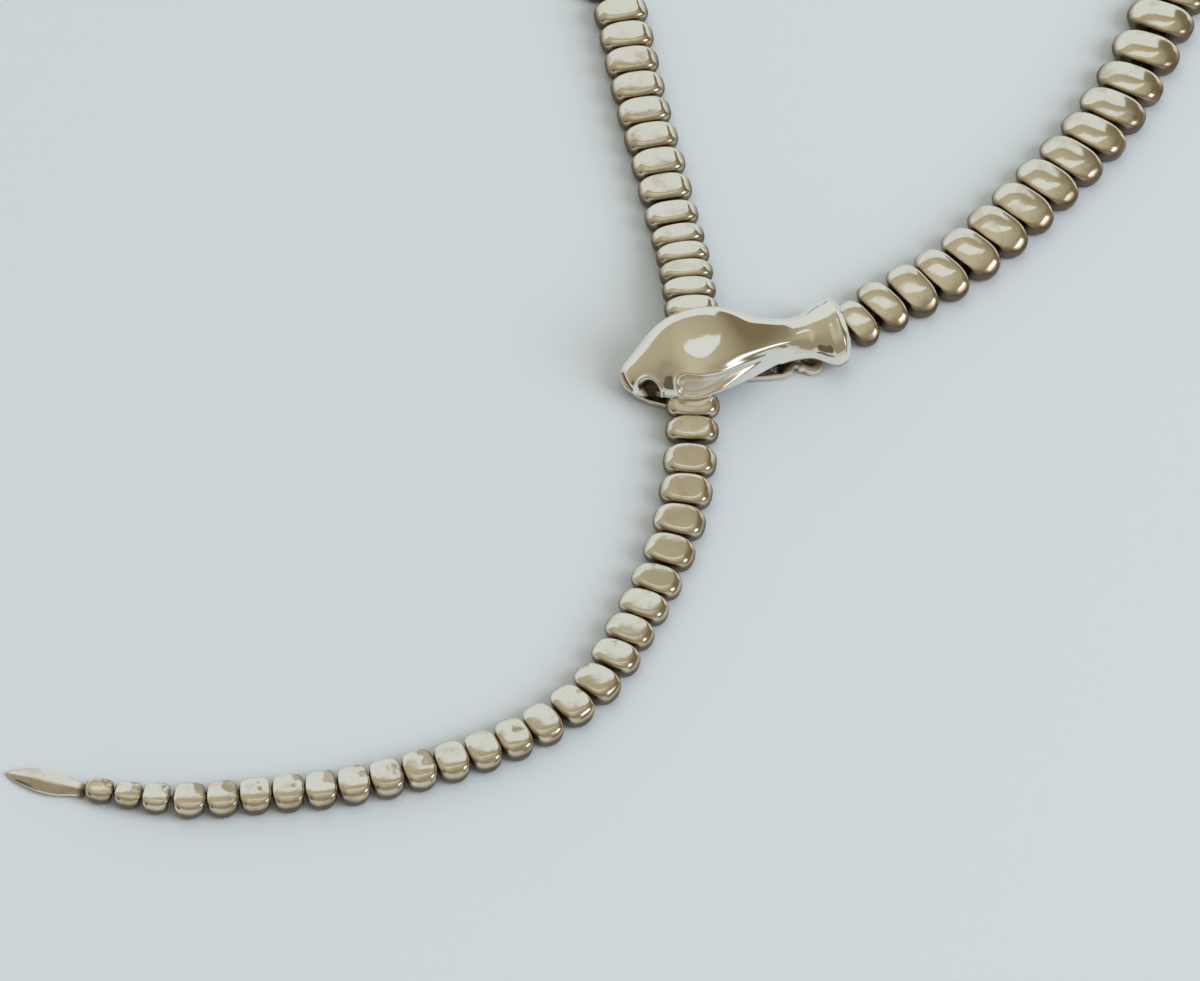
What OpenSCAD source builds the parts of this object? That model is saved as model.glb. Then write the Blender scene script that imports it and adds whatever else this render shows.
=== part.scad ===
// Snake necklace: a cast snake's head that clasps its own chain, lying flat with the tail hanging free.
// The chain runs from the collar of the head, round the neck, under the head and on to the pointed tail.
// Lengths are in millimetres. The base of the box round the whole necklace is centred on the origin.

/* [Head] */
// Length of the head from the snout to the rim of the collar
head_len = 26; // [24:0.5:28]
// Wall of the hollow dome
head_wall = 0.9; // [0.7:0.05:1.1]
// How far the panel on each cheek is sunk
cheek_depth = 0.35; // [0.1:0.05:0.5]
// How far the rim round each cheek panel stands out
cheek_rim = 0.2; // [0.1:0.05:0.3]

/* [Clasp hook] */
// Thickness of the sprung strip
strip_thick = 0.75; // [0.6:0.05:0.85]
// Half the width of the strip where the chain crosses it
strip_half = 2; // [1.5:0.1:2.2]
// Height of the strip's underside above the base
strip_base = 0.3; // [0.2:0.05:0.35]

/* [Chain] */
// Radius of the hidden round of the neck loop
loop_radius = 54; // [50:1:58]
// Usual distance between links in the hidden round
hidden_pitch = 4.85; // [4.7:0.05:5]
// Thickness of a full-sized link
link_height = 2.6; // [2.4:0.1:2.7]
// Rounding at the top edge of a link, as a share of its height
link_edge = 0.26; // [0.2:0.02:0.3]

/* [Tail tip] */
// Length of the pointed tip
tip_len = 9.1; // [8.6:0.1:9.2]
// Greatest width of the tip
tip_width = 3; // [2.6:0.1:3.2]
// Height of the keel along the tip
tip_height = 1.4; // [1.2:0.05:1.6]

/* [Hidden] */
$fn = 32;

// Where the clasp lies in the frame: the chain's route is measured from it, and the box is centred
clasp_x = -3.26;
clasp_y = -52.7;

// The head's own frame starts at the snout, on the base, and runs along the head
snout = [-8.1, -3.8];
head_turn = 16.2;

// Sections of the head from the snout to the collar. The columns are the distance from the snout,
// the shift to the far side, half the width, the height of the crown, the height of the near edge,
// the height of the far edge, the height of the roof of the hollow or of the underside, and how
// square the section is
HEAD = [
    [0,     0.1,  1.0,  2.3,  1.75, 1.75, 1.85, 1.0],
    [0.5,   0.1,  1.75, 3.0,  1.65, 1.65, 1.95, 0.95],
    [1.4,   0,    2.45, 3.8,  1.7,  1.6,  2.5,  0.9],
    [3,    -0.1,  3.5,  5.0,  2.6,  1.9,  3.9,  0.9],
    [4.5,  -0.35, 4.45, 6.0,  3.2,  2.6,  5.1,  0.88],
    [6.2,  -0.65, 5.05, 6.9,  3.5,  4.4,  6.0,  0.86],
    [8,    -0.65, 5.25, 7.35, 3.55, 5.0,  6.45, 0.85],
    [10,   -0.55, 5.15, 7.4,  3.4,  5.1,  6.5,  0.85],
    [12,   -0.45, 4.7,  7.1,  2.8,  5.0,  6.2,  0.86],
    [14,   -0.35, 4.05, 6.6,  2.3,  4.2,  5.6,  0.88],
    [16,   -0.3,  3.35, 5.9,  2.1,  2.5,  4.4,  0.9],
    [18,   -0.35, 2.9,  5.3,  2.3,  2.3,  2.2,  0.95],
    [20,   -0.55, 2.75, 4.9,  2.6,  2.6,  1.35, 1.0],
    [22,   -0.75, 3.1,  4.95, 2.7,  2.7,  1.25, 1.0],
    [23.1, -1.0,  3.85, 5.35, 2.8,  2.8,  1.2,  1.0],
    [24.2, -1.15, 4.35, 5.9,  2.95, 2.95, 0.35, 1.0],
    [25,   -1.0,  4.25, 6.05, 3.0,  3.0,  0.1,  1.0],
    [25.6, -0.95, 3.95, 5.9,  3.0,  3.0,  0.2,  1.0],
    [26,   -0.85, 3.45, 5.6,  3.0,  3.0,  0.5,  1.0]
];
head_rings = 52;
head_sides = 24;
head_end = HEAD[len(HEAD) - 1][0];
// Where the head is solid its underside is drawn in a little, and the whole underside is lowered a hair
solid_inset = 0.05;
skin = 0.02;
// How far the collar's tongue reaches back from the first link's pin
collar_tongue = 2.6;

// Each cheek panel is a teardrop between two circles. The rows are the distance from the snout, the
// height on the wall as a share of the way from the edge to the crown, and the radius
CHEEK = [
    [6.9, 0.3, 2.1],
    [16.5, 0.52, 0.35]
];
cheek_soft = 0.55;
cheek_stretch = 1.25;

// The sprung strip under the head. The columns are the distance from the snout, the near side and the
// far side
STRIP = [
    [0.9,  -1.5,  1.5],
    [2.3,  -3.0,  2.8],
    [4,    -4.1,  3.3],
    [4.9,  -3.2,  2.6],
    [5.6,  -2.0,  2.0],
    [12,   -2.0,  2.0],
    [13.2, -2.7,  2.0],
    [14.4, -3.4,  2.0],
    [16.6, -3.0,  2.0],
    [19,   -2.4,  1.8],
    [20,   -2.45, 1.6]
];
strip_rows_half = 2;
// The strip's root stands up to the head at the front: how far back it runs, and its top
strip_root = 2.2;
strip_root_top = 1.45;
// The thumb tab at the strip's free end, the bridge that joins it, and the small knob beside it
tab = [21.75, -2.9];
tab_size = [2.6, 3];
bridge = [19.5, -2.45];
bridge_size = [2, 2.5];
knob = [20.45, -3.2];
knob_size = [0.9, 0.8];
// The dimple in the tab: its radius, its depth and where it lies
dimple_r = 0.4;
dimple_deep = 0.15;
dimple = [21.55, -2.9];

// Points of the route, measured from the clasp: the strand from the collar, and the strand that comes
// back, runs under the head and ends as the tail
OUTWARD = [
    [16.4, 3.2], [18.9, 4.6], [21.8, 6.8], [28.8, 11.4], [35.5, 17.6], [41.7, 24.6],
    [47.3, 31.5], [52.2, 39.6], [56.5, 49.2]
];
HOMEWARD = [
    [-8.1, 50.4], [-6.8, 42.6], [-5.4, 35.1], [-3.8, 27.7], [-2.3, 20], [-1.1, 13.9], [-0.4, 8],
    [0, 1], [-0.1, -7.2], [-0.5, -14.6], [-1.8, -23], [-4.3, -30.6], [-7.3, -37.2],
    [-10.8, -43.7], [-16.7, -49], [-23.2, -52.4], [-30, -54.8], [-36.9, -56.6],
    [-47.3, -57.9], [-54.6, -58.5], [-61.3, -57.8], [-64.4, -57.3], [-74.85, -54.55]
];
loop_centre = [23.4, 108.4];
loop_from = -20;
loop_to = 200;
loop_step = 20;

// Where links lie along the outward strand. The columns are the link's number from the collar and
// the distance from the first link
OUTWARD_STATIONS = [[0, 0], [1, 3.7], [3, 12], [6, 25.8], [11, 48.9], [13, 59.4]];
// Where links lie along the tail and the strand behind the head. The columns are the link's number
// from the tip and the distance from the last link
HOMEWARD_STATIONS = [
    [0, 0], [1, 3.15], [2, 6.2], [3, 9.8], [8, 27.5], [14, 49.3], [17, 61.1], [20, 71.9], [25, 92.6],
    [26, 95.8], [29, 108.2], [33, 119.8], [34, 123.2], [42, 154.3]
];
tail_link_n = 28;
first_link_at = 2.9;
last_link_from_end = 10.8;

// Size of a link by its number, from the collar and then from the tip. The columns are the number, the
// width, the greatest length and how far the link is turned off the route
OUTWARD_SIZES = [
    [0, 6.4, 2.85, 2], [1, 7.3, 3.9, 5], [2, 7.45, 3.95, 4.5], [3, 7.55, 4.05, 3.5], [6, 7.95, 4.35, 0],
    [9, 8.2, 4.6, 0], [13, 8.2, 4.6, 0]
];
HOMEWARD_SIZES = [
    [0, 2.8, 2.65, 0], [1, 3.15, 2.7, 0], [2, 3.7, 2.95, 0], [3, 4.25, 3.3, 0], [8, 4.75, 3.25, 0],
    [14, 5.25, 3.35, 0], [17, 5.55, 3.4, 0], [23, 6.05, 3.55, 0], [42, 6.5, 3.6, 0]
];
// Thickness of a link of each width, as a share of the full thickness
THICKNESS = [[2.8, 0.8], [5, 0.93], [6.2, 1], [7.2, 1.12], [8, 1.16]];
link_gap = 0.4;

// How high the chain is lifted where it rides over the strip, by the distance from the last link
LIFT = [
    [87, 0], [92.6, 0.1], [95.8, 0.49], [99.9, 1.55], [104.1, 1.98], [108.2, 2.0], [111.1, 1.65],
    [114, 1.15], [117, 0.68], [119.8, 0.3], [123.2, 0.07], [126, 0.03], [131, 0]
];

// The keeled tip. The columns are the distance from its rear end, half its width and its height, and
// the rows are drawn at the length, width and height below
TIP = [
    [1.55, 1.0,  1.2], [2,   1.15, 1.25], [3,   1.4, 1.35], [4.4, 1.5, 1.4], [5.6, 1.45, 1.35],
    [7,    1.2,  1.15], [8.4, 0.85, 0.85], [9.4, 0.45, 0.55], [10, 0.08, 0.3]
];
tip_rows = [10, 3, 1.4];
// The lug at the rear of the tip, and how far its base stands above the link's
lug = [1.5, 1.6, 1.5];
lug_base = 0.1;

// The hinge between two links, as shares of the link's height and width
pin_share = 0.11;
eye_share = 0.185;
ring_share = 0.27;
pocket_share = 0.33;
bar_share = 0.34;
tongue_share = 0.17;
tongue_root = 0.35;
slot_share = 0.38;
pin_inset = 0.3;
// The room beyond a tongue's end in a slot, and how far a cut or pin runs past a face
slot_room = 0.22;
past = 1;
pin_hold = 0.3;

// A curve through points: each piece between two points is a cubic that keeps the chord's length
function chords(p) = [for (i = [0:len(p) - 2]) norm(p[i + 1] - p[i])];
function slope_at(p, d, i) =
    i == 0 ? (p[1] - p[0]) / d[0]
    : i == len(p) - 1 ? (p[i] - p[i - 1]) / d[i - 1]
    : ((p[i] - p[i - 1]) / d[i - 1] * d[i] + (p[i + 1] - p[i]) / d[i] * d[i - 1]) / (d[i - 1] + d[i]);
function cubic(a, b, ma, mb, d, t) =
    (2 * t * t * t - 3 * t * t + 1) * a + (t * t * t - 2 * t * t + t) * d * ma
    + (3 * t * t - 2 * t * t * t) * b + (t * t * t - t * t) * d * mb;
function curve(p, steps) = let(d = chords(p)) concat(
    [for (i = [0:len(p) - 2], k = [0:steps - 1])
        cubic(p[i], p[i + 1], slope_at(p, d, i), slope_at(p, d, i + 1), d[i], k / steps)],
    [p[len(p) - 1]]
);
function running(d) = [for (i = 0, s = 0; i <= len(d); s = s + (i < len(d) ? d[i] : 0), i = i + 1) s];

// The route of the whole chain, its running length, and a place on it
ROUND = [for (a = [loop_from:loop_step:loop_to]) loop_centre + loop_radius * [cos(a), sin(a)]];
ROUTE = curve(concat(OUTWARD, ROUND, HOMEWARD), 6);
RUN = running(chords(ROUTE));
route_len = RUN[len(RUN) - 1];
ROUTE_X = [for (i = [0:len(RUN) - 1]) [RUN[i], ROUTE[i][0]]];
ROUTE_Y = [for (i = [0:len(RUN) - 1]) [RUN[i], ROUTE[i][1]]];
function plan_at(s) = [lookup(s, ROUTE_X), lookup(s, ROUTE_Y)];
function column(rows, c) = [for (r = rows) [r[0], r[c]]];

// Distance of each link along the route: the two strands that show, and even steps between them
last_link = route_len - last_link_from_end;
outward_n = OUTWARD_STATIONS[len(OUTWARD_STATIONS) - 1][0] + 1;
homeward_n = HOMEWARD_STATIONS[len(HOMEWARD_STATIONS) - 1][0] + 1;
outward_end = first_link_at + lookup(outward_n - 1, OUTWARD_STATIONS);
homeward_start = last_link - lookup(homeward_n - 1, HOMEWARD_STATIONS);
hidden_n = round((homeward_start - outward_end) / hidden_pitch) - 1;
hidden_step = (homeward_start - outward_end) / (hidden_n + 1);
link_n = outward_n + hidden_n + homeward_n;
function from_tip(k) = link_n - 1 - k;
function station(k) =
    k < outward_n ? first_link_at + lookup(k, OUTWARD_STATIONS)
    : k < outward_n + hidden_n ? outward_end + hidden_step * (k - outward_n + 1)
    : last_link - lookup(from_tip(k), HOMEWARD_STATIONS);
STATION = [for (k = [0:link_n - 1]) station(k)];

// Sizes of a link. Through the hidden round the width falls from one strand's to the other's
function sized(k, c) =
    k < outward_n ? lookup(k, column(OUTWARD_SIZES, c))
    : k < outward_n + hidden_n ? let(
        t = (k - outward_n + 1) / (hidden_n + 1),
        a = lookup(outward_n, column(OUTWARD_SIZES, c)),
        b = lookup(homeward_n, column(HOMEWARD_SIZES, c))
    ) a + (b - a) * t * t * (3 - 2 * t)
    : lookup(from_tip(k), column(HOMEWARD_SIZES, c));
function pitch_before(k) = k == 0 ? STATION[1] - STATION[0] : STATION[k] - STATION[k - 1];
function pitch_after(k) = k == link_n - 1 ? STATION[k] - STATION[k - 1] : STATION[k + 1] - STATION[k];
function link_w(k) = sized(k, 1);
function link_l(k) = min(sized(k, 2), min(pitch_before(k), pitch_after(k)) - link_gap);
function link_h(k) = link_height * lookup(link_w(k), THICKNESS);
function lift_at(s) = lookup(last_link - s, LIFT);

// Place, heading and slope of a link's middle
function link_heading(k) =
    let(d = plan_at(STATION[k] + 1) - plan_at(STATION[k] - 1)) atan2(d[1], d[0]) + sized(k, 3);
function link_slope(k) = atan((lift_at(STATION[k] + 1.5) - lift_at(STATION[k] - 1.5)) / 3);
function link_place(k) = let(p = plan_at(STATION[k])) [p[0], p[1], lift_at(STATION[k]) + link_h(k) / 2];
function ahead(turn, slope) = [cos(slope) * cos(turn), cos(slope) * sin(turn), sin(slope)];
function pin_back(k) = link_l(k) / 2 - pin_inset * link_h(k);
function pin_place(k) = link_place(k) - pin_back(k) * ahead(link_heading(k), link_slope(k));

// The tip is hinged to the last link
tip_joint = pin_inset * link_h(link_n - 1);
tip_heading = let(d = plan_at(route_len) - plan_at(route_len - tip_len)) atan2(d[1], d[0]);
tip_pin = let(p = plan_at(route_len - tip_len + tip_joint)) [p[0], p[1], link_h(link_n - 1) / 2];

// Half outline of a link seen from its side, from the edge of the base up and over to the crown.
// Heights are measured from the middle of the link
function half_outline(l, h) = let(
    e = link_edge * h,
    r = 1.25 * l,
    x = l / 2 - e,
    c = h / 2 - r,
    z = c + sqrt(pow(r - e, 2) - x * x),
    a = atan2(z - c, x)
) concat(
    [[l / 2 - 0.4 * h, -h / 2], [l / 2 - 0.12 * h, -0.38 * h], [l / 2, -0.1 * h]],
    [for (i = [0:2]) [x + e * cos(a * i / 2), z + e * sin(a * i / 2)]],
    [[0, h / 2]]
);

// The whole outline, with its two halves moved apart
function outline(half, apart) = concat(
    [for (i = [0:len(half) - 2]) half[i] + [apart, 0]],
    [half[len(half) - 1]],
    [for (i = [len(half) - 2:-1:0]) [-half[i][0] - apart, half[i][1]]]
);

// The cushion is what a link's views from eight sides have in common
module link_body(w, l, h) {
    half = half_outline(l, h);
    intersection_for(a = [0:45:135])
        rotate([90, 0, a])
            linear_extrude(height = 2 * w, center = true)
                polygon(outline(half, (w - l) / 2 * abs(sin(a))));
}

// The slot at the back of a link, with the pin across it
module link_slot(w, l, h) {
    deep = (pin_inset + ring_share) * h + slot_room;
    translate([-l / 2 - past, -slot_share * w / 2, -pocket_share * h])
        cube([past + deep, slot_share * w, 2 * pocket_share * h]);
}

module link_pin(w, l, h) {
    translate([-l / 2 + pin_inset * h, 0, 0])
        rotate([90, 0, 0])
            cylinder(r = pin_share * h, h = slot_share * w + pin_hold, center = true);
}

// A tongue with an eye, from inside its own link to a pin reach away
module tongue(reach, root, w, h) {
    rotate([90, 0, 0])
        linear_extrude(height = tongue_share * w, center = true)
            difference() {
                union() {
                    translate([root, -bar_share * h / 2])
                        square([reach - root, bar_share * h]);
                    translate([reach, 0])
                        circle(r = ring_share * h);
                }
                translate([reach, 0])
                    circle(r = eye_share * h);
            }
}

// A tongue laid from one place towards a pin
module tongue_to(from, to, root, w, h) {
    d = to - from;
    translate(from)
        rotate([0, -atan2(d[2], norm([d[0], d[1]])), atan2(d[1], d[0])])
            tongue(norm(d), root, w, h);
}

module chain_link(k) {
    w = link_w(k);
    l = link_l(k);
    h = link_h(k);
    next = k == link_n - 1 ? tip_pin : pin_place(k + 1);
    translate(link_place(k))
        rotate([0, -link_slope(k), link_heading(k)]) {
            difference() {
                link_body(w, l, h);
                link_slot(w, l, h);
            }
            link_pin(w, l, h);
        }
    tongue_to(link_place(k), next, l / 2 - tongue_root, min(w, link_w(min(k + 1, link_n - 1))), h);
}

// Rows of the head's table at a distance from the snout, smoothed between the rows
function head_row(s) = let(
    i = max([for (k = [0:len(HEAD) - 2]) HEAD[k][0] <= s ? k : 0]),
    d = [for (k = [0:len(HEAD) - 2]) HEAD[k + 1][0] - HEAD[k][0]]
) cubic(HEAD[i], HEAD[i + 1], slope_at(HEAD, d, i), slope_at(HEAD, d, i + 1), d[i], (s - HEAD[i][0]) / d[i]);

// How far the wall stands out or in at a place on a cheek, by the distance from the teardrop's edge
function cheek_edge(s, up, wall) = let(
    a = CHEEK[0],
    b = CHEEK[1],
    t = min(1, max(0, (s - a[0]) / (b[0] - a[0]))),
    r = a[2] + (b[2] - a[2]) * t
) norm([s - a[0] - (b[0] - a[0]) * t, (up - a[1] - (b[1] - a[1]) * t) * wall]) - r;
function cheek_bump(s, up, wall) = let(d = cheek_edge(s, up, wall) / cheek_soft)
    cheek_rim * exp(-d * d) - cheek_depth / (1 + exp(4 * (d + 0.9)));

// One ring round the head: over the crown from the near edge to the far one, and back underneath
function head_ring(s) = let(
    r = head_row(s),
    side = head_sides,
    q = r[7],
    wall = r[6] > max(r[4], r[5]) ? head_wall : solid_inset
) concat(
    [for (i = [0:side]) let(
        a = 180 * i / side,
        edge = a < 90 ? r[4] : r[5],
        c = -sign(cos(a)) * pow(abs(cos(a)), q),
        z = pow(sin(a), q),
        bump = cheek_bump(s, z, cheek_stretch * (r[3] - edge))
    ) [s, r[1] + c * (r[2] + (i == 0 || i == side ? 0 : bump)), edge + z * (r[3] - edge)]],
    [for (i = [side:-1:0]) let(
        a = 180 * i / side,
        edge = a < 90 ? r[4] : r[5],
        c = -sign(cos(a)) * pow(abs(cos(a)), q)
    ) [s, r[1] + c * (r[2] - wall), edge + sin(a) * (r[6] - edge) - skin]]
);

// A closed skin over rings that have the same number of points
module loft(rings) {
    n = len(rings[0]);
    last = len(rings) - 1;
    polyhedron(
        [for (ring = rings, p = ring) p],
        concat(
            [[for (j = [n - 1:-1:0]) j]],
            [for (i = [0:last - 1], j = [0:n - 1])
                [i * n + j, (i + 1) * n + (j + 1) % n, (i + 1) * n + j]],
            [for (i = [0:last - 1], j = [0:n - 1])
                [i * n + j, i * n + (j + 1) % n, (i + 1) * n + (j + 1) % n]],
            [[for (j = [0:n - 1]) last * n + j]]
        )
    );
}

// An ellipse with flats, so that it can be stretched
module ellipse(size) {
    polygon([for (i = [0:23]) [size[0] / 2 * cos(15 * i), size[1] / 2 * sin(15 * i)]]);
}

module on_head() {
    translate([snout[0], snout[1], 0])
        rotate([0, 0, head_turn])
            children();
}

module head() {
    rings = [for (i = [0:head_rings]) head_ring(head_end * i / head_rings)];
    root = pin_place(0) - collar_tongue * ahead(link_heading(0), 0);
    color("gainsboro")
        translate([clasp_x, clasp_y, 0]) {
            on_head()
                scale(head_len / head_end)
                    loft(rings);
            tongue_to(root, pin_place(0), 0, link_w(0), link_h(0));
        }
}

// The strip: its plan, its root standing up at the front, and the thumb tab with a dimple
module clasp_hook() {
    wide = strip_half / strip_rows_half;
    near = [for (r = STRIP) [r[0], r[1] * wide]];
    far = [for (i = [len(STRIP) - 1:-1:0]) [STRIP[i][0], STRIP[i][2] * wide]];
    front = STRIP[0];
    color("silver")
        translate([clasp_x, clasp_y, 0])
            on_head()
                difference() {
                    union() {
                        translate([0, 0, strip_base])
                            linear_extrude(height = strip_thick)
                                polygon(concat(near, far));
                        translate([front[0], front[1], strip_base])
                            cube([strip_root - front[0], front[2] - front[1], strip_root_top - strip_base]);
                        translate([tab[0], tab[1], strip_base])
                            linear_extrude(height = strip_thick)
                                ellipse(tab_size);
                        translate([knob[0], knob[1], strip_base])
                            linear_extrude(height = strip_thick)
                                ellipse(knob_size);
                        translate([bridge[0], bridge[1], strip_base])
                            cube([bridge_size[0], bridge_size[1], strip_thick]);
                    }
                    translate([dimple[0], dimple[1], strip_base + strip_thick + dimple_r - dimple_deep])
                        sphere(r = dimple_r);
                }
}

module loop_links() {
    color("darkkhaki")
        translate([clasp_x, clasp_y, 0])
            for (k = [0:link_n - tail_link_n - 1])
                chain_link(k);
}

module tail_links() {
    color("tan")
        translate([clasp_x, clasp_y, 0])
            for (k = [link_n - tail_link_n:link_n - 1])
                chain_link(k);
}

// One section of the tip: a flat base, an edge at each side and a narrow ridge
SPEAR = [[-1, 0.4], [-0.1, 1], [0.1, 1], [1, 0.4], [0.6, 0.06], [-0.6, 0.06]];
function spear_ring(s, half, high) = [for (p = SPEAR) [s, p[0] * half, p[1] * high]];

// The tip: a lug that is hinged as a link is, and a keeled spear that runs out to the point
module tail_tip() {
    w = link_w(link_n - 1);
    h = link_h(link_n - 1);
    grow = [tip_len / tip_rows[0], tip_width / tip_rows[1], tip_height / tip_rows[2]];
    color("silver")
        translate([clasp_x, clasp_y, 0])
            translate(tip_pin)
                rotate([0, 0, tip_heading]) {
                    difference() {
                        translate([-tip_joint, -lug[1] / 2, -h / 2 + lug_base])
                            cube(lug);
                        link_slot(w, 2 * tip_joint, h);
                    }
                    link_pin(w, 2 * tip_joint, h);
                    translate([-tip_joint, 0, -h / 2])
                        loft([for (r = TIP) spear_ring(r[0] * grow[0], r[1] * grow[1], r[2] * grow[2])]);
                }
}

head();
clasp_hook();
loop_links();
tail_links();
tail_tip();
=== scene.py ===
import math

import bmesh
import bpy
import numpy as np
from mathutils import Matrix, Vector, noise


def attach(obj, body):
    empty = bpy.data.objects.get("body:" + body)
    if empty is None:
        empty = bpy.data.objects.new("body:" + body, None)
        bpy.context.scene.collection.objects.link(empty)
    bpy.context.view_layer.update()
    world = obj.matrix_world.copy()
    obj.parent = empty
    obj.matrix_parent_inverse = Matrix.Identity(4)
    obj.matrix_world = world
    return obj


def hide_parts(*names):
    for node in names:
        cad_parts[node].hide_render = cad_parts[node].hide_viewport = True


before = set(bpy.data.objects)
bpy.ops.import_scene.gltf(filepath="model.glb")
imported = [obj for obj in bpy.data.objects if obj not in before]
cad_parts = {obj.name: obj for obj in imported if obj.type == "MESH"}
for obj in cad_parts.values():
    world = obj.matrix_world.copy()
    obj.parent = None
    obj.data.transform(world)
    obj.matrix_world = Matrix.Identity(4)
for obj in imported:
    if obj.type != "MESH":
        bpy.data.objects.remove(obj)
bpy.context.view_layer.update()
mm = 0.001
scene = bpy.context.scene
print("frame loaded")

# shared helpers: curves through tables, meshes, node trees


def chordsOf(points):
    return np.linalg.norm(np.diff(points, axis=0), axis=1)


def slopesOf(points, chords):
    step = np.diff(points, axis=0) / chords[:, None]
    both = (chords[:-1] + chords[1:])[:, None]
    inner = (step[:-1] * chords[1:, None] + step[1:] * chords[:-1, None]) / both
    return np.vstack([step[:1], inner, step[-1:]])


def cubicAt(a, b, slopeA, slopeB, chord, t):
    return ((2 * t ** 3 - 3 * t ** 2 + 1) * a + (t ** 3 - 2 * t ** 2 + t) * chord * slopeA
            + (3 * t ** 2 - 2 * t ** 3) * b + (t ** 3 - t ** 2) * chord * slopeB)


def smoothCurve(points, steps):
    points = np.array(points, float)
    chords = chordsOf(points)
    slopes = slopesOf(points, chords)
    out = [cubicAt(points[i], points[i + 1], slopes[i], slopes[i + 1], chords[i], k / steps)
           for i in range(len(points) - 1) for k in range(steps)]
    return np.array(out + [points[-1]])


def smoothTable(rows):
    rows = np.array(rows, float)
    chords = np.diff(rows[:, 0])
    slopes = slopesOf(rows, chords)

    def rowAt(s):
        i = int(np.clip(np.searchsorted(rows[:, 0], s, "right") - 1, 0, len(rows) - 2))
        t = (s - rows[i, 0]) / chords[i]
        return cubicAt(rows[i], rows[i + 1], slopes[i], slopes[i + 1], chords[i], t)
    return rowAt


def lookUp(x, rows, column=1):
    rows = np.array(rows, float)
    return float(np.interp(x, rows[:, 0], rows[:, column]))


def softStep(x, low, high):
    t = np.clip((x - low) / (high - low), 0, 1)
    return t * t * (3 - 2 * t)


def meshPiece(name, verts, faces, nodeNames):
    data = bpy.data.meshes.new(name)
    data.from_pydata([tuple(v) for v in verts], [], faces)
    data.update()
    piece = bpy.data.objects.new(name, data)
    scene.collection.objects.link(piece)
    data.shade_smooth()
    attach(piece, "root")
    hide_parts(*nodeNames)
    return piece


def gridFaces(rings, sides):
    faces = []
    for i in range(rings - 1):
        for j in range(sides):
            after = (j + 1) % sides
            faces.append((i * sides + j, i * sides + after, (i + 1) * sides + after, (i + 1) * sides + j))
    return faces


def setShade(piece, values, name="shade"):
    layer = piece.data.attributes.new(name, "FLOAT", "POINT")
    layer.data.foreach_set("value", np.asarray(values, dtype=np.float32))


def chainNodes(tree):
    # gives a helper that adds a node, sets its values and joins its inputs
    def add(kind, values=None, **fields):
        node = tree.nodes.new(kind)
        for key, value in fields.items():
            setattr(node, key, value)
        for key, value in (values or {}).items():
            if isinstance(value, bpy.types.NodeSocket):
                tree.links.new(value, node.inputs[key])
            else:
                node.inputs[key].default_value = value
        return node
    return add


# gathers many shells into one piece, with the painted shade and tarnish, and the stain, of each point
class Mesher:
    def __init__(self):
        self.verts, self.faces, self.shade, self.stain = [], [], [], []
        self.count = 0

    def add(self, verts, faces, shade=0.0, stain=0.0):
        verts = np.asarray(verts, float)
        self.verts.append(verts)
        self.faces += [tuple(i + self.count for i in f) for f in faces]
        self.shade.append(np.broadcast_to(np.asarray(shade, float), len(verts)))
        self.stain.append(np.broadcast_to(np.asarray(stain, float), len(verts)))
        self.count += len(verts)

    def make(self, name, nodeNames):
        piece = meshPiece(name, np.vstack(self.verts), self.faces, nodeNames)
        setShade(piece, np.concatenate(self.shade))
        setShade(piece, np.concatenate(self.stain), "stain")
        return piece


# camera

lens = {"aim": (-0.01386, -0.0703, 0.0), "distance": 0.55, "elevation": 56.0, "focal": 146.85}
cameraData = bpy.data.cameras.new("camera")
cameraData.lens = lens["focal"]
cameraData.sensor_width = 36.0
cameraData.clip_start = 0.01
cameraData.clip_end = 20.0
camera = bpy.data.objects.new("camera", cameraData)
scene.collection.objects.link(camera)
back = Vector((0, -math.cos(math.radians(lens["elevation"])), math.sin(math.radians(lens["elevation"]))))
camera.location = Vector(lens["aim"]) + back * lens["distance"]
camera.rotation_mode = "QUATERNION"
camera.rotation_quaternion = (-back).to_track_quat("-Z", "Y")
scene.camera = camera

# the chain's route and its links

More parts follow.
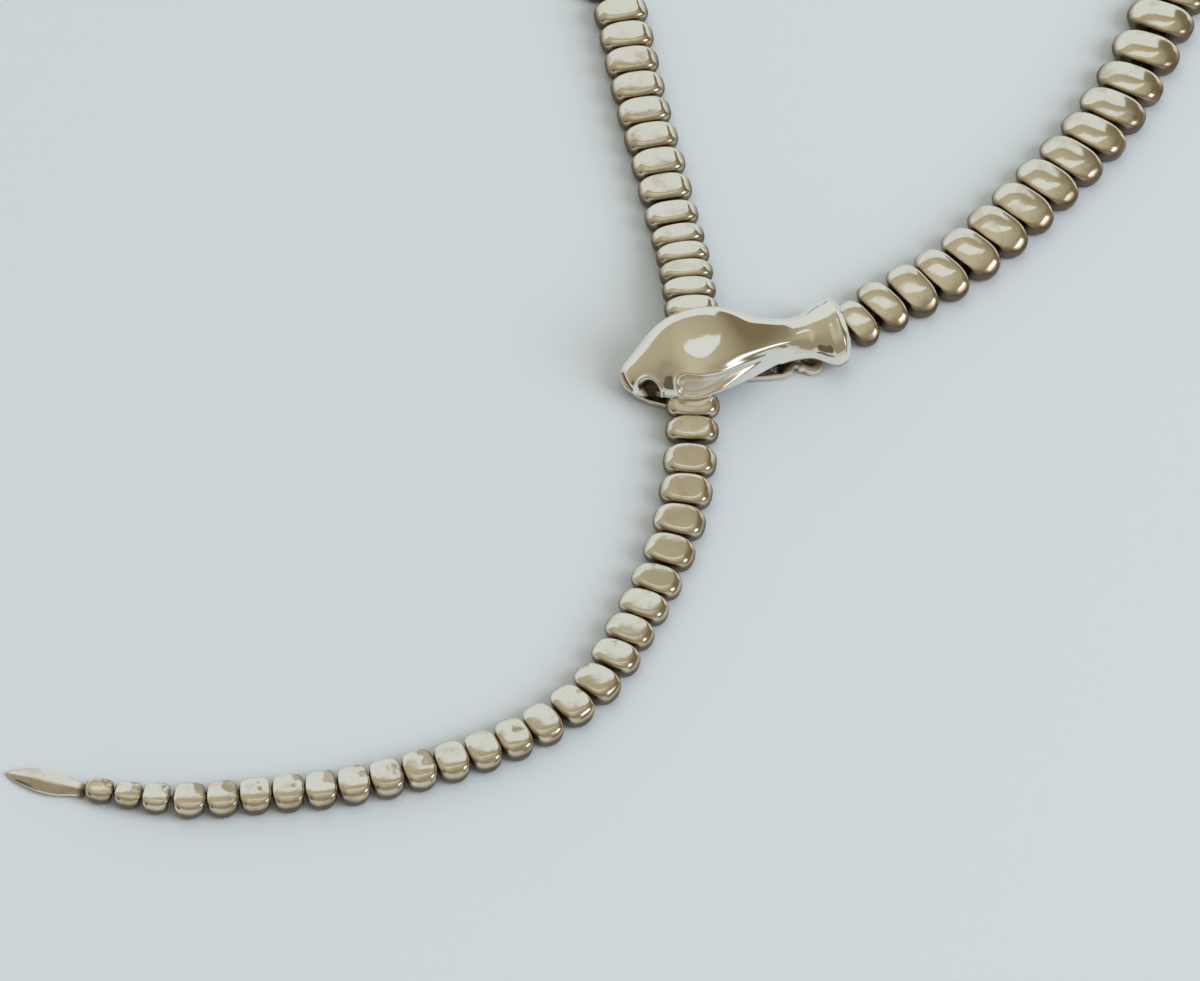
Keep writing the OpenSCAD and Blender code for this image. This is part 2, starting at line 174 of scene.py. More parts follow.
chain = {
    "clasp": (-3.26, -52.7),
    # points of the route, measured from the clasp: out of the collar, round the neck and home to the tip
    "outward": [(16.4, 3.2), (18.9, 4.6), (21.8, 6.8), (28.8, 11.4), (35.5, 17.6), (41.7, 24.6),
                (47.3, 31.5), (52.2, 39.6), (56.5, 49.2)],
    "homeward": [(-8.1, 50.4), (-6.8, 42.6), (-5.4, 35.1), (-3.8, 27.7), (-2.3, 20), (-1.1, 13.9),
                 (-0.4, 8), (0, 1), (-0.1, -7.2), (-0.5, -14.6), (-1.8, -23), (-4.3, -30.6), (-7.3, -37.2),
                 (-10.8, -43.7), (-16.7, -49), (-23.2, -52.4), (-30, -54.8), (-36.9, -56.6),
                 (-47.3, -57.9), (-54.6, -58.5), (-61.3, -57.8), (-64.4, -57.3), (-74.85, -54.55)],
    "loop": {"centre": (23.4, 108.4), "radius": 54, "from": -20, "to": 200, "step": 20},
    "routeSteps": 6,
    # how far to each side of a link the route's heading and slope are read
    "headingReach": 1, "slopeReach": 1.5,
    "firstAt": 2.9, "lastFromEnd": 10.8, "hiddenPitch": 4.85, "fuller": 0.5, "height": 2.6,
    # room between neighbours by width: most links run a hair into each other
    "gap": [(5.3, -0.06), (6.0, -0.02), (6.5, 0.03), (7.3, -0.04)],
    # link's number from the collar or from the tip, and its distance from the first or the last link
    "outwardStations": [(0, 0), (1, 3.7), (3, 12), (6, 25.8), (11, 48.9), (13, 59.4)],
    "homewardStations": [(0, 0), (1, 3.15), (2, 6.2), (3, 9.8), (8, 27.5), (14, 49.3), (17, 61.1),
                         (20, 71.9), (25, 92.6), (26, 95.8), (29, 108.2), (33, 119.8), (34, 123.2),
                         (42, 154.3)],
    # link's number, width, length and turn off the route in degrees
    "outwardSizes": [(0, 6.4, 2.85, 2), (1, 7.3, 3.9, 5), (2, 7.45, 3.95, 4.5), (3, 7.55, 4.05, 3.5),
                     (6, 7.95, 4.35, 0), (9, 8.2, 4.6, 0), (13, 8.2, 4.6, 0)],
    "homewardSizes": [(0, 2.8, 2.65, 0), (1, 3.15, 2.7, 0), (2, 3.7, 2.95, 0), (3, 4.25, 3.3, 0),
                      (8, 4.75, 3.25, 0), (14, 5.25, 3.35, 0), (17, 5.55, 3.4, 0), (23, 6.05, 3.55, 0),
                      (42, 6.5, 3.6, 0)],
    # thickness by width, as a share of "height"
    "thickness": [(2.8, 0.8), (5, 0.93), (6.2, 1), (7.2, 1.12), (8, 1.16)],
    # how high the chain rides over the clasp, by the distance from the last link
    "lift": [(87, 0), (92.6, 0.1), (95.8, 0.49), (99.9, 1.55), (104.1, 1.98), (108.2, 2.0), (111.1, 1.65),
             (114, 1.15), (117, 0.68), (119.8, 0.3), (123.2, 0.07), (126, 0.03), (131, 0)],
    "tailLinks": 28, "tipLength": 9.1, "pinInset": 0.3, "wideKind": 7.3,
    # how far the tops are tipped, away and to the right, by the link's number from the tip; the links
    # that leave the collar have numbers below nought
    "tipped": [(-16, 0.06, 0), (-12, 0.05, 0), (-9, 0.03, -0.01), (-7, -0.02, -0.03),
               (-5, -0.085, -0.05), (0, -0.085, -0.05), (0.5, 0.1, 0), (5, 0.11, 0), (16, 0.11, 0),
               (18, 0.09, 0), (20, 0.06, 0), (22, 0.025, -0.015), (26, 0.012, -0.02), (30, 0.03, 0),
               (33, 0.045, 0), (46, 0.045, 0), (60, 0.02, 0)],
    # the first links by the collar lie truer than the rest
    "collarLinks": 20, "trueLinks": 9, "loose": 0.03, "looseTrue": 0.015,
}


def layChain(c):
    ring = c["loop"]
    angles = np.radians(np.arange(ring["from"], ring["to"] + 1, ring["step"]))
    around = np.array(ring["centre"]) + ring["radius"] * np.column_stack([np.cos(angles), np.sin(angles)])
    route = smoothCurve(c["outward"] + [tuple(p) for p in around] + c["homeward"], c["routeSteps"])
    run = np.concatenate([[0], np.cumsum(chordsOf(route))])
    total = run[-1]

    def planAt(s):
        return np.array([np.interp(s, run, route[:, 0]), np.interp(s, run, route[:, 1])])

    lastLink = total - c["lastFromEnd"]
    outwardCount = c["outwardStations"][-1][0] + 1
    homewardCount = c["homewardStations"][-1][0] + 1
    outwardEnd = c["firstAt"] + c["outwardStations"][-1][1]
    homewardStart = lastLink - c["homewardStations"][-1][1]
    hiddenCount = round((homewardStart - outwardEnd) / c["hiddenPitch"]) - 1
    hiddenStep = (homewardStart - outwardEnd) / (hiddenCount + 1)
    count = outwardCount + hiddenCount + homewardCount

    def stationOf(k):
        if k < outwardCount:
            return c["firstAt"] + lookUp(k, c["outwardStations"])
        if k < outwardCount + hiddenCount:
            return outwardEnd + hiddenStep * (k - outwardCount + 1)
        return lastLink - lookUp(count - 1 - k, c["homewardStations"])

    def sizedAs(k, column):
        if k < outwardCount:
            return lookUp(k, c["outwardSizes"], column)
        if k < outwardCount + hiddenCount:
            t = (k - outwardCount + 1) / (hiddenCount + 1)
            a = lookUp(outwardCount, c["outwardSizes"], column)
            b = lookUp(homewardCount, c["homewardSizes"], column)
            return a + (b - a) * t * t * (3 - 2 * t)
        return lookUp(count - 1 - k, c["homewardSizes"], column)

    def liftAt(s):
        return lookUp(lastLink - s, c["lift"])

    stations = [stationOf(k) for k in range(count)]
    links = []
    for k, s in enumerate(stations):
        before = stations[1] - stations[0] if k == 0 else s - stations[k - 1]
        after = s - stations[k - 1] if k == count - 1 else stations[k + 1] - s
        width = sizedAs(k, 1)
        height = c["height"] * lookUp(width, c["thickness"])
        way = planAt(s + c["headingReach"]) - planAt(s - c["headingReach"])
        rise = liftAt(s + c["slopeReach"]) - liftAt(s - c["slopeReach"])
        links.append({
            "width": width,
            # the width that the link's form is looked up by
            "kind": max(width, c["wideKind"]) if k < outwardCount else width,
            "length": min(sizedAs(k, 2) + c["fuller"], min(before, after) - lookUp(width, c["gap"])),
            "height": height,
            "heading": math.atan2(way[1], way[0]) + math.radians(sizedAs(k, 3)),
            "slope": math.atan(rise / (2 * c["slopeReach"])),
            "place": np.array([*planAt(s), liftAt(s) + height / 2]),
            "fromTip": count - 1 - k,
        })
    ends = planAt(total) - planAt(total - c["tipLength"])
    tipJoint = c["pinInset"] * links[-1]["height"]
    tip = {"heading": math.atan2(ends[1], ends[0]), "joint": tipJoint,
           "pin": np.array([*planAt(total - c["tipLength"] + tipJoint), links[-1]["height"] / 2])}
    return links, tip


def turned(points, heading, slope, place):
    # from a link's own frame, long way along its heading, to the necklace's frame
    ch, sh, cs, ss = math.cos(heading), math.sin(heading), math.cos(slope), math.sin(slope)
    matrix = np.array([[ch * cs, -sh, -ch * ss], [sh * cs, ch, -sh * ss], [ss, 0, cs]])
    return points @ matrix.T + place


def tipLinks(links, c):
    for k, link in enumerate(links):
        # how far the chain turns over the link, so that its long sides stay parallel to its neighbours'
        before = links[max(k - 1, 0)]["heading"]
        after = links[min(k + 1, len(links) - 1)]["heading"]
        link["bend"] = 0.5 * math.remainder(after - before, 2 * math.pi)
        # each top face is tipped a little, more in some strands than in others
        number = link["fromTip"] if k > c["collarLinks"] else -k
        loose = c["loose"] if k > c["trueLinks"] else c["looseTrue"]
        right = lookUp(number, c["tipped"], 2) + loose * noise.noise(Vector((k * 3.7, 0.5, 0.5)))
        away = lookUp(number, c["tipped"]) + loose * noise.noise(Vector((k * 3.7, 9.5, 0.5)))
        cosine, sine = math.cos(link["heading"]), math.sin(link["heading"])
        link["tilt"] = np.array([right * cosine + away * sine, -right * sine + away * cosine])


clasp = np.array([*chain["clasp"], 0.0])
links, tip = layChain(chain)
for link in links:
    link["place"] = link["place"] + clasp
tip["pin"] = tip["pin"] + clasp
tipLinks(links, chain)
print("links laid:", len(links))

# links: pebbles with a domed top, crisp behind and rolling off ahead, a pocket behind and a tongue ahead

pebble = {
    "sides": 44, "rings": 9, "edgeSteps": 6, "underAngles": (14, 32, 50, 68, 90),
    # the tables go by the link's width: fullness of the plan along and across, and how much rounder
    # the near ends are
    "planWide": [(5.0, 3.1), (6.0, 2.7), (6.3, 3.2), (7.3, 2.6)],
    "planLong": [(5.0, 2.3), (6.0, 2.4), (7.3, 2.8)],
    "rounder": [(5.0, 0.8), (6.2, 0.4), (7.3, 0.25)], "turnOn": 1.6,
    "bunch": 0.04, "coreShare": 0.92, "corePower": 0.8,
    # radius of the dome along the chain, and the fall of the crown towards the ends
    "dome": [(5.0, 16.0), (5.3, 20.0), (5.7, 42.0), (6.95, 42.0), (7.2, 7.5), (8.2, 8.5)],
    "droop": [(5.0, 0.42), (6.2, 0.45), (7.0, 0.75), (8.2, 0.85)],
    "droopPower": [(6.0, 6.0), (6.8, 5.0), (7.3, 3.5)],
    # rounding of the edges and of the underside, as shares of the height
    "edgeAhead": 0.24, "edgeBehind": 0.14, "edgeSide": 0.42, "under": 0.26, "baseHalf": 0.1,
    "pocketWide": 0.19, "pocketHigh": 0.3, "pocketDeep": 0.5,
    "tongue": {"wide": 0.14, "high": 0.15, "from": 0.2, "spare": 0.1, "sides": 12, "rings": 4},
    # small unevenness of the surface, and the height that it starts from
    "dent": 0.022, "dentSize": 1.9, "dentFrom": -0.4,
    # stain at the far corner; painted shade, with some tarnish, near the floor, and painted shade between
    # two links and over the bright reflection at the outer ends
    "stain": [(4.9, 0.75), (5.2, 0.35), (6.4, 0.1), (7.2, 0.05)],
    "foot": [(5.0, 0.95), (5.8, 0.75), (6.2, 0.45), (7.3, 0.45)],
    "between": [(5.0, 0.7), (6.0, 0.45), (6.5, 0.3), (7.3, 0.3)],
    "atEnds": [(5.8, 0.0), (6.2, 0.4), (6.6, 0.4), (7.3, 0.1)],
}


def halfSection(length, height, edge, r, look):
    # from the crown to the middle of the base: distance out and height, for one side of a pebble
    x = length / 2 - edge
    centre = height / 2 - r
    z = centre + math.sqrt((r - edge) ** 2 - x * x)
    turn = math.atan2(z - centre, x)
    points = [(r * math.cos(a), centre + r * math.sin(a))
              for a in np.linspace(math.pi / 2, turn, look["rings"])]
    steps = look["edgeSteps"]
    points += [(x + edge * math.cos(a), z + edge * math.sin(a))
               for a in turn * (1 - np.arange(1, steps + 1) / steps)]
    low = z + height / 2
    for a in np.radians(look["underAngles"]):
        points.append((length / 2 - look["under"] * height * (1 - math.cos(a)), z - low * math.sin(a)))
    points.append((length * look["baseHalf"], -height / 2))
    return np.array(points)


def pebblePlan(link, look):
    # the outline that the sections run out to, the short line that they start from, and how far each
    # point faces along the chain
    w, l, kind = link["width"], link["length"], link["kind"]
    angles = np.arange(look["sides"]) * 2 * math.pi / look["sides"]
    # more points near the middle of each long side, where a full plan leaves them sparse
    angles = angles - look["bunch"] * np.sin(4 * angles)
    c, sn = np.cos(angles), np.sin(angles)
    towards = np.clip(np.cos(link["heading"]) * sn * look["turnOn"], -1, 0)
    power = lookUp(kind, look["planWide"]) + lookUp(kind, look["rounder"]) * towards
    rim = np.column_stack([l / 2 * np.sign(c) * np.abs(c) ** (2 / power),
                           w / 2 * np.sign(sn) * np.abs(sn) ** (2 / lookUp(kind, look["planLong"]))])
    core = (w - l) / 2 * look["coreShare"] * np.sign(sn) * np.abs(sn) ** look["corePower"]
    return rim, np.column_stack([np.zeros(len(c)), core]), c


def pebbleShade(verts, link, look, seed):
    # painted shade with some tarnish, and the stain, of each point, from where it lies as shares of the
    # length, width and height
    w, kind = link["width"], link["kind"]
    x, y, z = (verts / [link["length"], w, link["height"]]).T
    ends = softStep(np.abs(x), 0.4, 0.5)
    around = softStep(np.hypot(x, y), 0.44, 0.5)
    wall = softStep(-z, -0.36, -0.1)
    # painted shade, with some tarnish, over the lower half and down the walls, most at the ends
    shade = softStep(-z, -0.1, 0.38) * (0.35 + 0.4 * ends) + (0.42 * around + 0.3 * ends) * wall
    # tarnish gathers at the rim of the top, most of all behind; painted shade darkens the slope ahead,
    # where it rolls down into the gap
    rim = softStep((np.abs(2 * x) ** 4 + np.abs(2 * y) ** 3) ** 0.3, 0.72, 1.0)
    shade += rim * (0.24 + 0.34 * softStep(-x, 0.1, 0.4)) + 0.3 * softStep(x, 0.38, 0.5)
    # painted shade dims the bright reflection at the outer ends
    shade += lookUp(kind, look["atEnds"]) * softStep(np.abs(y), 0.4, 0.47)
    # painted shade on the end walls, in the gap between two links
    shade += lookUp(kind, look["between"]) * ends * softStep(-z, -0.5, -0.25)
    # painted shade, with some tarnish, near the floor
    shade += lookUp(kind, look["foot"]) * softStep(-z, -0.25, 0.1)
    # small links carry a stain at the far corner behind, some more than others
    amount = lookUp(w, look["stain"]) * (0.75 + noise.noise(Vector((seed * 2.3, 4.5, 0.5))))
    stain = amount * softStep(-x, -0.15, 0.2) * softStep(-y, -0.3, 0.1) * softStep(z, 0, 0.3)
    return np.clip(shade, 0, 1), stain


def pebbleMesh(link, look, seed):
    w, h, l, kind = link["width"], link["height"], link["length"], link["kind"]
    rim, core, c = pebblePlan(link, look)
    lean = np.abs(c) ** 1.5
    ending = np.where(c > 0, look["edgeAhead"], look["edgeBehind"])
    edge = h * (look["edgeSide"] * (1 - lean) + ending * lean)
    dome, droop, droopPower = (lookUp(kind, look[name]) for name in ("dome", "droop", "droopPower"))
    sections = np.array([halfSection(l, h, e, dome, look) for e in edge])
    rows = []
    for k in range(sections.shape[1]):
        out = sections[:, k, 0] / (l / 2)
        plan = core + (rim - core) * out[:, None]
        plan[:, 0] *= 1 - plan[:, 1] * link["bend"] / l
        high = np.clip(sections[:, k, 1] / (h / 2), 0, 1)
        fall = droop * np.abs(plan[:, 1] / (w / 2)) ** droopPower
        z = sections[:, k, 1] - fall * high - plan @ link["tilt"] * high
        rows.append(np.column_stack([plan, z]))
    verts = np.vstack(rows)
    # small hammer-like unevenness, so that the reflections waver
    shift = Vector((seed * 7.31, seed * 3.17, 0.0))
    for v in verts:
        wave = noise.noise(Vector(v) / look["dentSize"] + shift)
        if v[2] > look["dentFrom"] * h:
            v += v / np.linalg.norm(v) * look["dent"] * wave
    # the pocket that takes the tongue of the link behind
    x, y, z = (verts / [l, w, h]).T
    pocket = softStep(-x, 0.32, 0.42) * softStep(look["pocketWide"] - np.abs(y), -0.05, 0.05)
    pocket *= softStep(look["pocketHigh"] - np.abs(z), -0.04, 0.06)
    verts[:, 0] += pocket * look["pocketDeep"] * h
    faces = gridFaces(len(rows), look["sides"])
    faces.append(tuple(reversed(range(len(verts) - look["sides"], len(verts)))))
    shade, stain = pebbleShade(verts, link, look, seed)
    # the pocket is darkened with painted shade
    return verts, faces, np.maximum(shade, pocket), stain


def addTongue(m, link, ahead, look):
    way = ahead - link["place"]
    reach = np.linalg.norm(way) if link["fromTip"] else link["length"] / 2 + look["spare"]
    half = look["wide"] * link["width"] / 2
    high = look["high"] * link["height"]
    sides, rings = look["sides"], look["rings"]
    angles = (np.arange(sides) + 0.5) * 2 * math.pi / sides
    c, sn = np.cos(angles), np.sin(angles)
    squash = (np.abs(c) ** 4 + np.abs(sn) ** 4) ** -0.25
    ring = np.column_stack([np.zeros(sides), half * squash * c, high * squash * sn])
    stations = np.linspace(link["length"] * look["from"], reach, rings)
    verts = np.vstack([ring + [s, 0, 0] for s in stations])
    faces = [f[::-1] for f in gridFaces(rings, sides)]
    faces.append(tuple(range(sides)))
    faces.append(tuple(reversed(range(len(verts) - sides, len(verts)))))
    slope = math.atan2(way[2], math.hypot(way[0], way[1]))
    # the tongue is fully darkened with painted shade, as it lies in the gap between links
    m.add(turned(verts, math.atan2(way[1], way[0]), slope, link["place"]) * mm, faces, 1.0)


def tidyMesh(piece):
    bm = bmesh.new()
    bm.from_mesh(piece.data)
    bmesh.ops.remove_doubles(bm, verts=bm.verts, dist=1e-7)
    bmesh.ops.recalc_face_normals(bm, faces=bm.faces)
    bm.to_mesh(piece.data)
    bm.free()


def buildLinks(name, chosen, nodeNames):
    m = Mesher()
    for k in chosen:
        link = links[k]
        verts, faces, shade, stain = pebbleMesh(link, pebble, k)
        m.add(turned(verts, link["heading"], link["slope"], link["place"]) * mm, faces, shade, stain)
        ahead = links[k + 1]["place"] if k + 1 < len(links) else tip["pin"]
        addTongue(m, link, ahead, pebble["tongue"])
    piece = m.make(name, nodeNames)
    tidyMesh(piece)
    return piece


loopCount = len(links) - chain["tailLinks"]
loopPiece = buildLinks("loop_links_silver", range(loopCount), ["loop_links"])
tailPiece = buildLinks("tail_links_silver", range(loopCount, len(links)), ["tail_links"])
print("links made")

# the head

headForm = {
    "snout": (-8.1, -3.8), "turn": 16.2, "long": 26.0, "rings": 260, "sides": 120,
    # thickness over the hollow and past it, the drop of the roof, the rounding of the two ends, and
    # painted shade at the two end points
    "wall": 0.9, "skin": 0.05, "roofDrop": 0.02, "snoutRise": 0.12, "endShade": [0.2, 0.8],
    # points that a section is drawn with before it is spaced evenly, and rounds of smoothing round it
    "fine": 6, "blend": 26, "farHalf": 0.98,
    # distance from the snout, shift, half width, crown, near edge, far edge, roof or underside, squareness
    "rows": [
        (0, 0.1, 1.0, 2.3, 1.75, 1.75, 1.85, 1.0), (0.5, 0.1, 1.75, 3.0, 1.65, 1.65, 1.95, 0.95),
        (1.4, 0, 2.45, 3.8, 1.7, 1.6, 2.5, 0.9), (3, -0.1, 3.5, 5.05, 2.6, 1.9, 3.9, 0.9),
        (4.5, -0.35, 4.45, 6.3, 3.2, 2.6, 5.1, 0.88), (6.2, -0.65, 5.05, 7.05, 3.5, 4.4, 6.0, 0.86),
        (8, -0.65, 5.25, 7.31, 3.55, 5.0, 6.45, 0.85), (10, -0.55, 5.15, 7.35, 3.4, 5.1, 6.5, 0.85),
        (12, -0.45, 4.7, 7.23, 2.8, 5.0, 6.2, 0.86), (14, -0.35, 4.05, 6.75, 2.3, 4.2, 5.6, 0.88),
        (16, -0.3, 3.35, 5.9, 2.1, 2.5, 4.4, 0.9), (18, -0.35, 2.9, 5.3, 2.3, 2.3, 2.2, 0.95),
        (20, -0.55, 2.75, 4.9, 2.6, 2.6, 1.35, 1.0), (22, -0.75, 3.1, 4.95, 2.7, 2.7, 1.25, 1.0),
        (23.1, -1.0, 3.85, 5.35, 2.8, 2.8, 1.2, 1.0), (24.2, -1.15, 4.35, 5.9, 2.95, 2.95, 0.35, 1.0),
        (25, -1.0, 4.25, 6.05, 3.0, 3.0, 0.1, 1.0), (25.6, -0.95, 3.95, 5.9, 3.0, 3.0, 0.2, 1.0),
        (26, -0.85, 3.45, 5.6, 3.0, 3.0, 0.5, 1.0),
    ],
    # how square the far shoulder is, along the head
    "farSquare": [(0, 2.2), (2, 2.8), (5, 3.6), (9, 3.4), (14, 3.2), (17, 2.6), (21, 2.1), (26, 2.1)],
    # how far the highest line lies beyond the middle, as a share of the half width
    "ridge": [(0, 0), (2, 0.1), (5, 0.36), (14, 0.38), (17, 0.15), (20, 0), (26, 0)],
    # the crease between the top and the cheek: distance from the snout, shift, height
    "crease": [(4.2, -3.6, 5.3), (5.5, -4.0, 6.0), (6.5, -4.25, 6.45), (7.8, -4.7, 6.74),
               (10.1, -4.7, 6.76), (12.7, -4.0, 6.4), (15.4, -3.15, 5.75), (18, -2.35, 5.2),
               (20.5, -2.0, 4.8), (23, -2.6, 4.8)],
    "creaseFrom": (3.8, 5.6), "creaseTo": (19.5, 22.5),
    # how far the lip under the cheek stands out, and how far the near edge is raised
    "lip": [(0, 0), (4.0, 0), (5.1, 0.5), (6.3, 0.85), (8.3, 0.85), (9.9, 0.65), (12.3, 0.12),
            (15, -0.12), (18, -0.3), (20, -0.1), (21, 0), (27, 0)],
    "raised": [(0, 0), (10, 0), (12.3, 0.35), (15, 0.4), (18, 0.5), (20, 0.2), (22, 0), (27, 0)],
    "lipHigh": 0.6, "lipShare": 0.16, "cheekShare": 0.42,
    # smoothing of the outer face, along the head and then round it: rounds, first ring, rings left out
    "evenAlong": (150, 25, 44), "evenRound": (14, 26, 30),
    # the cheek's panel, which is left out where the cheek is low
    "panel": {"front": 6.1, "back": 16.2, "share": 0.46, "taper": 0.7, "soft": 0.75, "clear": 3.0,
              "tallFrom": 0.5, "tallFull": 2.5,
              "deep": [(5, 0.65), (9, 0.6), (13, 0.3), (16.2, 0.1)],
              "rim": 0.13, "rimAt": 0.12, "rimWide": 0.3, "rimBehind": 0.4},
    # satin wear on the crease, which fades in and out along the head
    "worn": {"most": 0.5, "wide": 0.9, "from": (7.5, 10), "to": (17.5, 20)},
    "socket": {"centre": (2.55, -2.85, 3.0), "size": (1.2, 1.2, 1.1), "deep": 0.9,
               "rim": 0.2, "rimAt": 1.3, "rimWide": 0.22, "rimFrom": (2.3, 3.0), "paintedShade": 1.5},
    "nub": {"centre": (3.1, -3.5, 2.2), "size": 0.3, "high": 0.12},
    "valley": {"centre": (4.5, -3.0, 5.4), "size": (0.9, 1.3, 1.5), "deep": 0.14},
    "slit": [(0.1, 0.5, 2.5), (0.15, -0.1, 2.47), (0.19, -0.7, 2.42), (0.35, -1.25, 2.28),
             (0.57, -1.7, 2.07)],
    "slitWide": 0.2, "slitDeep": 0.35, "slitRings": 12,
    # the collar's bead and the groove before it: distance from the snout, height
    "bead": [(25.1, 0.12), (24.3, -0.08)], "beadWide": 0.3,
    # painted shade in the hollow, up to the jaw and behind it
    "jaw": 7, "jawShade": 0.95, "hollowShade": 0.6,
}


def onHead(points):
    a = math.radians(headForm["turn"])
    matrix = np.array([[math.cos(a), -math.sin(a), 0], [math.sin(a), math.cos(a), 0], [0, 0, 1]])
    return points @ matrix.T + clasp + [*headForm["snout"], 0]


def evenly(rows, count):
    run = np.concatenate([[0], np.cumsum(chordsOf(rows[:, :2]))])
    at = np.linspace(0, run[-1], count)
    return np.column_stack([np.interp(at, run, rows[:, i]) for i in range(rows.shape[1])])


def smoothRows(rows, rounds):
    # draws each row but the first and the last towards its neighbours, in place
    for _ in range(rounds):
        rows[1:-1] = (rows[:-2] + 2 * rows[1:-1] + rows[2:]) / 4


def headSection(s, r, form, count):
    # from the near edge over the crown to the far edge, and how far each point is up the cheek
    shift, half, crown, near, far, square = r[1], r[2], r[3], r[4] + form["raisedAt"](s)[1], r[5], r[7]
    a = np.linspace(0, math.pi / 2, count * form["fine"])
    u = np.linspace(0, 1, count * form["fine"])
    ridge = shift + half * form["ridgeAt"](s)[1]
    nearArc = np.column_stack([ridge - (half + ridge - shift) * np.cos(a) ** square,
                               near + (crown - near) * np.sin(a) ** square])
    # the folded near side: a lip at the foot, the cheek up to the crease, and the top
    creaseRow = form["creaseAt"](np.clip(s, form["crease"][0][0], form["crease"][-1][0]))
    corner = creaseRow[1:]
    foot = np.array([shift - half, near])
    bulge = np.array([shift - half - form["lipAt"](s)[1], near + form["lipHigh"]])
    lipShare, cheekShare = form["lipShare"], form["cheekShare"]
    up = (u - lipShare) / cheekShare
    low = foot + (bulge - foot) * (u / lipShare)[:, None]
    side = bulge + (corner - bulge) * up[:, None]
    t = np.clip((1 - u) / (1 - lipShare - cheekShare), 0, 1)
    top = np.column_stack([ridge + (corner[0] - ridge) * t, crown + (corner[1] - crown) * t ** 2])
    folded = np.where(u[:, None] < lipShare, low, np.where(up[:, None] < 1, side, top))
    share = softStep(s, *form["creaseFrom"]) * (1 - softStep(s, *form["creaseTo"]))
    nearHalf = nearArc + (folded - nearArc) * share
    power = 2 / form["farSquareAt"](s)[1]
    farOut = half * form["farHalf"] + shift - ridge
    farHalf = np.column_stack([ridge + farOut * np.sin(a) ** power,
                               far + (crown - far) * np.cos(a) ** power])
    near = evenly(np.column_stack([nearHalf, np.clip(up, -0.5, 1.5)]), count)
    far = evenly(farHalf, count)
    points = np.vstack([near[:, :2], far[1:]])
    smoothRows(points, form["blend"])
    # the far side counts as well above the panel, so it stays plain
    plain = np.full(count - 1, form["panel"]["clear"])
    return points, np.concatenate([near[:, 2], plain]), np.linalg.norm(corner - bulge) * share


def sunkPanel(s, up, tall, panel):
    # how far the cheek is pushed in, and its raised rim
    long = panel["back"] - panel["front"]
    half = panel["share"] * tall * np.clip((panel["back"] - s) / long, 0, 1) ** panel["taper"]
    across = np.abs(up - 0.5) * tall
    if s < panel["front"]:
        half = panel["share"] * tall
        across = np.hypot(across, panel["front"] - s)
    d = across - half
    deep = lookUp(s, panel["deep"]) * softStep(-d, 0, panel["soft"])
    rim = panel["rim"] * np.exp(-((d - panel["rimAt"]) / panel["rimWide"]) ** 2)
    if s > panel["back"]:
        rim = rim * panel["rimBehind"]
    return rim - deep


def headWalls(form, stations):
    # a ring of points at each station: the outer face, the hollow, and the cheek's measures
    rowAt = smoothTable(form["rows"])
    count = form["sides"] // 2 + 1
    a = np.linspace(0, math.pi, 2 * count - 1)
    outers, inners, ups, talls = [], [], [], []
    for s in stations:
        r = rowAt(s)
        section, up, tall = headSection(s, r, form, count)
        wall = form["wall"] if r[6] > max(r[4], r[5]) else form["skin"]
        edge = np.where(a < math.pi / 2, r[4], r[5])
        along = np.full(len(a), s)
        outers.append(np.column_stack([along, section]))
        inners.append(np.column_stack([along, r[1] - np.cos(a) * (r[2] - wall),
                                       edge + np.sin(a) * (r[6] - edge) - form["roofDrop"]]))
        ups.append(up)
        talls.append(tall)
    return np.array(outers), np.array(inners), ups, talls


def farFrom(points, spot):
    # distance from a spot on the head, measured in the spot's own size
    return np.linalg.norm((points - spot["centre"]) / spot["size"], axis=2)


def headRelief(form, outer, stations, ups, talls):
    # how far each point of the outer face is pushed out, how much painted shade it gets and how satin
    push, paintedShade, satin = np.zeros((3, *outer.shape[:2]))
    panel, worn = form["panel"], form["worn"]
    for i, s in enumerate(stations):
        if talls[i] > panel["tallFrom"]:
            push[i] = sunkPanel(s, ups[i], talls[i], panel) * min(1.0, talls[i] / panel["tallFull"])
            fold = np.linalg.norm(outer[i, :, 1:] - form["creaseAt"](s)[1:], axis=1)
            onFold = worn["most"] * np.exp(-(fold / worn["wide"]) ** 2)
            onFold *= softStep(s, *worn["from"]) * (1 - softStep(s, *worn["to"]))
            satin[i] = np.maximum(softStep(-push[i], 0.0, 0.2), onFold)
    socket, nub, valley = form["socket"], form["nub"], form["valley"]
    d = farFrom(outer, socket)
    rim = socket["rim"] * np.exp(-((d - socket["rimAt"]) / socket["rimWide"]) ** 2)
    push += rim * softStep(outer[:, :, 2], *socket["rimFrom"]) - socket["deep"] * np.exp(-d ** 6)
    # painted shade deep in the eye socket
    paintedShade += socket["paintedShade"] * np.exp(-d ** 6)
    push += nub["high"] * np.exp(-farFrom(outer, nub) ** 2)
    push -= valley["deep"] * np.exp(-farFrom(outer, valley) ** 4)
    slit = smoothCurve(form["slit"], 12)
    front = slice(form["slitRings"])
    d = np.min(np.linalg.norm(outer[front, :, None] - slit, axis=3), axis=2) / form["slitWide"]
    push[front] -= form["slitDeep"] * np.exp(-d ** 2)
    # painted shade along the mouth slit
    paintedShade[front] += np.exp(-d ** 2)
    for at, high in form["bead"]:
        push += high * np.exp(-((outer[:, :, 0] - at) / form["beadWide"]) ** 2)
    push[:, 0] = push[:, -1] = 0
    return push, paintedShade, satin


